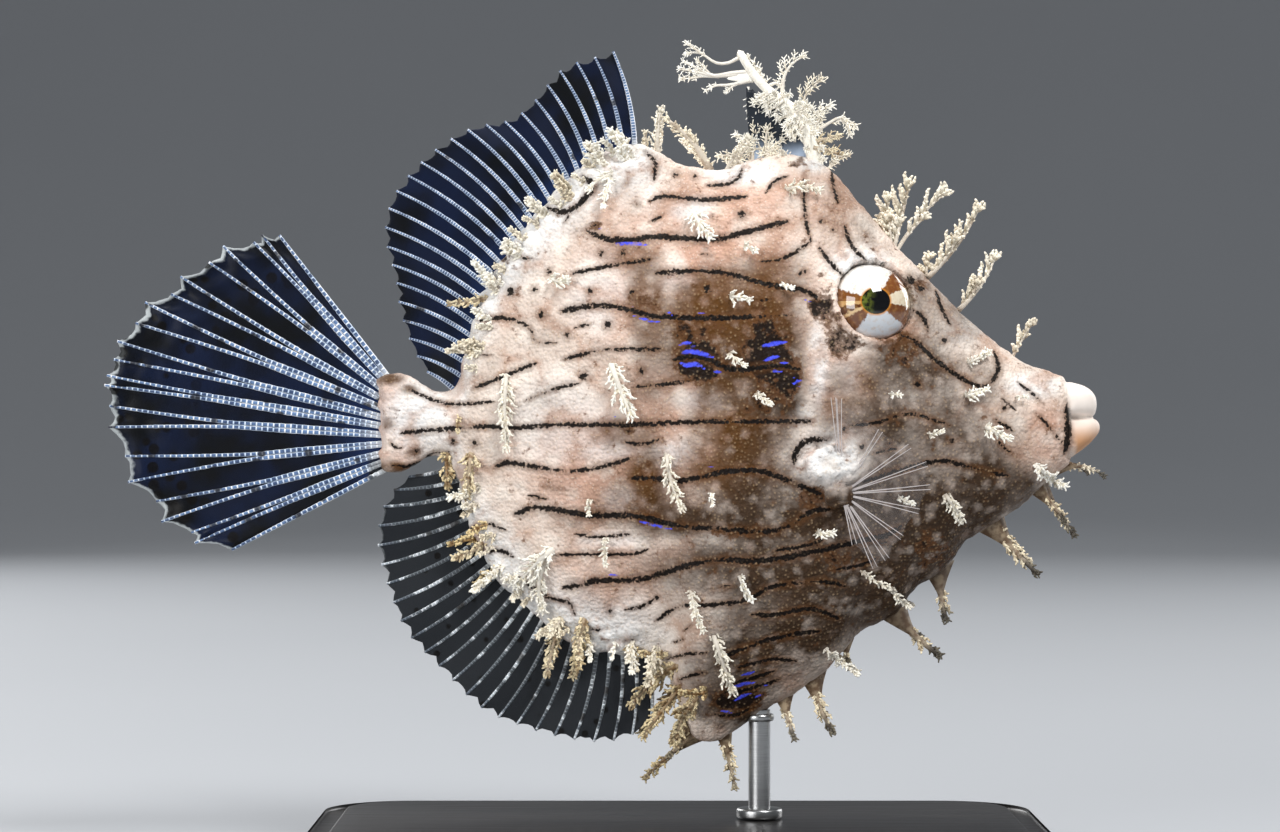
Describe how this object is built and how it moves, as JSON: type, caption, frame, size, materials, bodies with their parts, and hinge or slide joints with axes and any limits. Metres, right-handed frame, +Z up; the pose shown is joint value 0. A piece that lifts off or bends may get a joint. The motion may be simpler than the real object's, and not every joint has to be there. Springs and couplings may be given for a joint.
{
  "type": "tassel filefish display model",
  "caption": "Life-size still model of a tassel filefish with branched skin tassels, rayed fins and a long snout, held by a rod on a flat display base.",
  "frame": {"origin": "on the floor, at the bottom centre of the whole model's box, under the stand's base", "axes": "+X towards the mouth, +Y towards the fish's left side, +Z up; the pictured right side faces -Y"},
  "size_m": [0.1591, 0.062, 0.13],
  "materials": {
    "head_skin": "satin painted skin",
    "flank_skin": "satin painted skin",
    "belly_skin": "satin painted skin",
    "lip_skin": "smooth painted skin",
    "eye": "clear glossy dome",
    "fin_membrane": "thin smoky membrane with pale rays",
    "pectoral_membrane": "thin clear membrane with pale rays",
    "tassel_skin": "painted skin",
    "stand_base": "satin black",
    "stand_rod": "brushed"
  },
  "bodies": {
    "root": {"head": "head_skin", "torso": "flank_skin", "tail_stalk": "flank_skin", "pelvic_keel": "belly_skin", "upper_lip": "lip_skin", "lower_lip": "lip_skin", "eye_right": "eye", "eye_left": "eye", "soft_dorsal_fin": "fin_membrane", "anal_fin": "fin_membrane", "caudal_fin": "fin_membrane", "pectoral_fin_right": "pectoral_membrane", "pectoral_fin_left": "pectoral_membrane", "dorsal_spine": "tassel_skin", "stand_base": "stand_base", "stand_rod": "stand_rod"}
  },
  "joints": []
}
